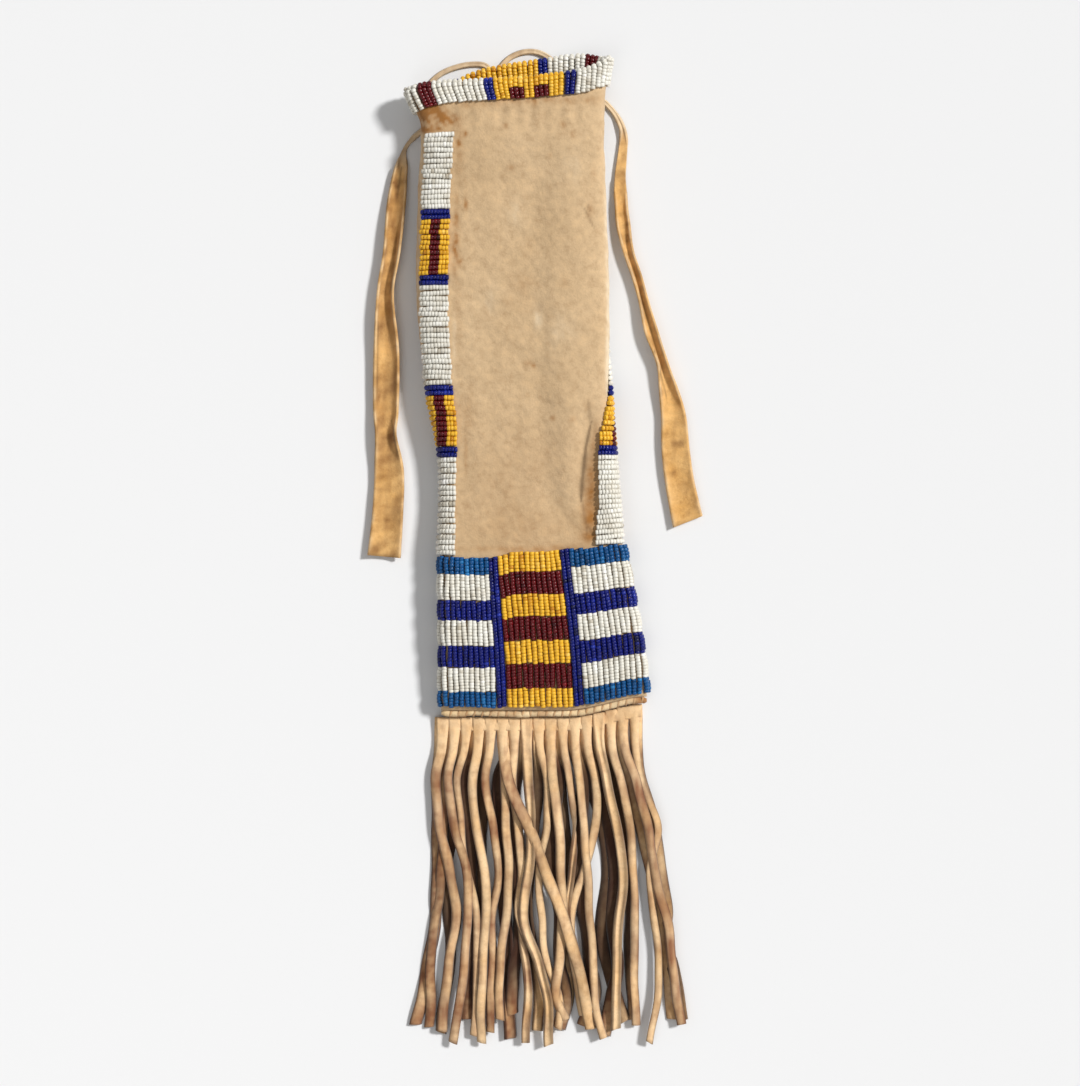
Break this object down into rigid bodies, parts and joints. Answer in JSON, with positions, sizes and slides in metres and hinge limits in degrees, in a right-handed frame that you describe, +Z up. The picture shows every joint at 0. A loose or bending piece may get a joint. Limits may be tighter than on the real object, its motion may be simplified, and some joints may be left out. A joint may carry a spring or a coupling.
{
  "type": "beaded tobacco pouch",
  "caption": "Long flat hide pouch lying on its back, with a beaded lip, beaded side lanes, a striped beaded panel at the foot, a neck thong with flat ties and a cut hide fringe.",
  "frame": {"origin": "on the floor, under the middle of the whole pouch as it lies on its back", "axes": "+X to the pouch's right seen from above, +Y from the fringe towards the mouth, +Z up from the floor, out of the front"},
  "size_m": [0.1514, 0.4514, 0.0203],
  "materials": {
    "hide": "brain-tanned hide, matt suede with smoke mottling and worn smudges",
    "tie": "ochre-rubbed hide, matt",
    "fringe": "cut hide strands, matt",
    "welt": "pale folded hide, matt",
    "white_beads": "opaque glass seed beads, glossy",
    "teal_beads": "opaque glass seed beads, glossy",
    "blue_beads": "opaque glass seed beads, glossy",
    "yellow_beads": "opaque glass seed beads, glossy",
    "red_beads": "opaque glass seed beads, glossy"
  },
  "bodies": {
    "root": {"hide_bag": "hide", "panel_teal_bottom": "teal_beads", "panel_teal_top": "teal_beads", "panel_white_bottom": "white_beads", "panel_white_middle": "white_beads", "panel_white_top": "white_beads", "panel_blue_frame": "blue_beads", "panel_yellow_1": "yellow_beads", "panel_yellow_2": "yellow_beads", "panel_yellow_3": "yellow_beads", "panel_yellow_4": "yellow_beads", "panel_red_1": "red_beads", "panel_red_2": "red_beads", "panel_red_3": "red_beads", "left_lane_white_1": "white_beads", "left_lane_white_2": "white_beads", "left_lane_white_3": "white_beads", "left_lane_blue_1": "blue_beads", "left_lane_blue_2": "blue_beads", "left_lane_blue_3": "blue_beads", "left_lane_blue_4": "blue_beads", "left_lane_motif_1_yellow_outer": "yellow_beads", "left_lane_motif_1_red": "red_beads", "left_lane_motif_1_yellow_inner": "yellow_beads", "left_lane_motif_2_yellow_outer": "yellow_beads", "left_lane_motif_2_red": "red_beads", "left_lane_motif_2_yellow_inner": "yellow_beads", "right_lane_white_1": "white_beads", "right_lane_white_2": "white_beads", "right_lane_white_3": "white_beads", "right_lane_blue_1": "blue_beads", "right_lane_blue_2": "blue_beads", "right_lane_blue_3": "blue_beads", "right_lane_blue_4": "blue_beads", "right_lane_motif_1_yellow_outer": "yellow_beads", "right_lane_motif_1_red": "red_beads", "right_lane_motif_1_yellow_inner": "yellow_beads", "right_lane_motif_2_yellow_outer": "yellow_beads", "right_lane_motif_2_red": "red_beads", "right_lane_motif_2_yellow_inner": "yellow_beads", "lip_white_1": "white_beads", "lip_white_2": "white_beads", "lip_white_3": "white_beads", "lip_white_4": "white_beads", "lip_red_1": "red_beads", "lip_red_2": "red_beads", "lip_blue_1": "blue_beads", "lip_blue_2": "blue_beads", "lip_blue_3": "blue_beads", "lip_blue_4": "blue_beads", "lip_yellow_1": "yellow_beads", "lip_yellow_2": "yellow_beads", "lip_square_1": "red_beads", "lip_square_2": "red_beads", "neck_thong": "tie", "foot_welt": "welt", "fringe_back": "fringe", "fringe_front_left": "fringe", "fringe_front_right": "fringe"}
  },
  "joints": []
}
